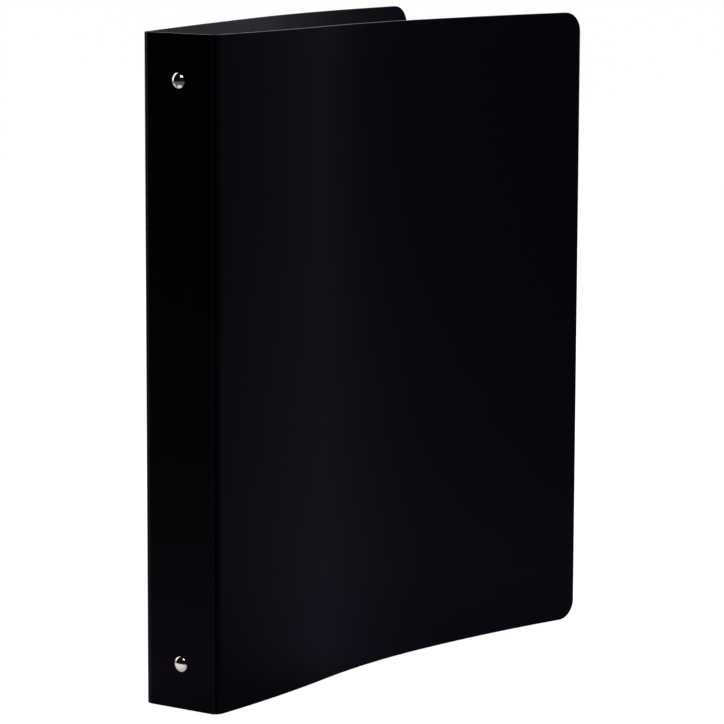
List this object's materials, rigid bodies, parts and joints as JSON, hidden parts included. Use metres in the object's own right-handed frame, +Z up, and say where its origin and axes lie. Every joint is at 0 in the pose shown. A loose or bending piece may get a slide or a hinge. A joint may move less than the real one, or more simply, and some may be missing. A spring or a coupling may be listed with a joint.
{
  "type": "ring binder",
  "caption": "Upright ring binder with limp sheet covers on living hinges, riveted ring mechanism with opening rings and end triggers.",
  "frame": {"origin": "middle of the spine panel's bottom edge, half way through its thickness", "axes": "+X from the back cover to the front cover, +Y from the spine towards the fore edges, +Z up the spine"},
  "size_m": [0.1008, 0.2553, 0.2921],
  "materials": {
    "cover_sheet": "satin black polypropylene sheet",
    "nickel_plate": "bright nickel plate",
    "polished_rivet": "polished nickel",
    "blade_steel": "rolled zinc-plated steel"
  },
  "bodies": {
    "spine": {"spine_panel": "cover_sheet", "front_living_hinge": "cover_sheet", "back_living_hinge": "cover_sheet", "ring_housing": "nickel_plate", "lower_trigger_pin": "blade_steel", "upper_trigger_pin": "blade_steel", "bottom_rivet": "polished_rivet", "top_rivet": "polished_rivet", "bottom_rivet_post": "blade_steel", "top_rivet_post": "blade_steel"},
    "front_cover": {"front_cover": "cover_sheet"},
    "back_cover": {"back_cover": "cover_sheet"},
    "front_rings": {"front_blade": "blade_steel", "lower_front_half_ring": "nickel_plate", "middle_front_half_ring": "nickel_plate", "upper_front_half_ring": "nickel_plate"},
    "back_rings": {"back_blade": "blade_steel", "lower_back_half_ring": "nickel_plate", "middle_back_half_ring": "nickel_plate", "upper_back_half_ring": "nickel_plate"},
    "lower_trigger": {"lower_trigger": "nickel_plate"},
    "upper_trigger": {"upper_trigger": "nickel_plate"}
  },
  "joints": [
    {"name": "front_cover_hinge", "type": "hinge", "parent": "spine", "child": "front_cover", "pos_m": [0.01869, 0.00034, 0], "axis": [0, 0, -1], "range_deg": [-4.5, 172], "deforming": ["front_living_hinge"]},
    {"name": "back_cover_hinge", "type": "hinge", "parent": "spine", "child": "back_cover", "pos_m": [-0.01869, 0.00029, 0], "axis": [0, 0, 1], "range_deg": [-7, 173], "deforming": ["back_living_hinge"]},
    {"name": "front_rings_open", "type": "hinge", "parent": "spine", "child": "front_rings", "pos_m": [0.00675, 0.0032, 0], "axis": [0, 0, -1], "range_deg": [0, 14]},
    {"name": "back_rings_open", "type": "hinge", "parent": "spine", "child": "back_rings", "pos_m": [-0.00675, 0.0032, 0], "axis": [0, 0, 1], "range_deg": [0, 14]},
    {"name": "lower_trigger_press", "type": "hinge", "parent": "spine", "child": "lower_trigger", "pos_m": [0, 0.0022, 0.0107], "axis": [-1, 0, 0], "range_deg": [0, 16.8]},
    {"name": "upper_trigger_press", "type": "hinge", "parent": "spine", "child": "upper_trigger", "pos_m": [0, 0.0022, 0.2814], "axis": [1, 0, 0], "range_deg": [0, 16.8]}
  ],
  "couplings": [
    {"joint": "back_rings_open", "follows": "front_rings_open", "ratio": 1},
    {"joint": "lower_trigger_press", "follows": "front_rings_open", "ratio": 1.2},
    {"joint": "upper_trigger_press", "follows": "front_rings_open", "ratio": 1.2}
  ]
}
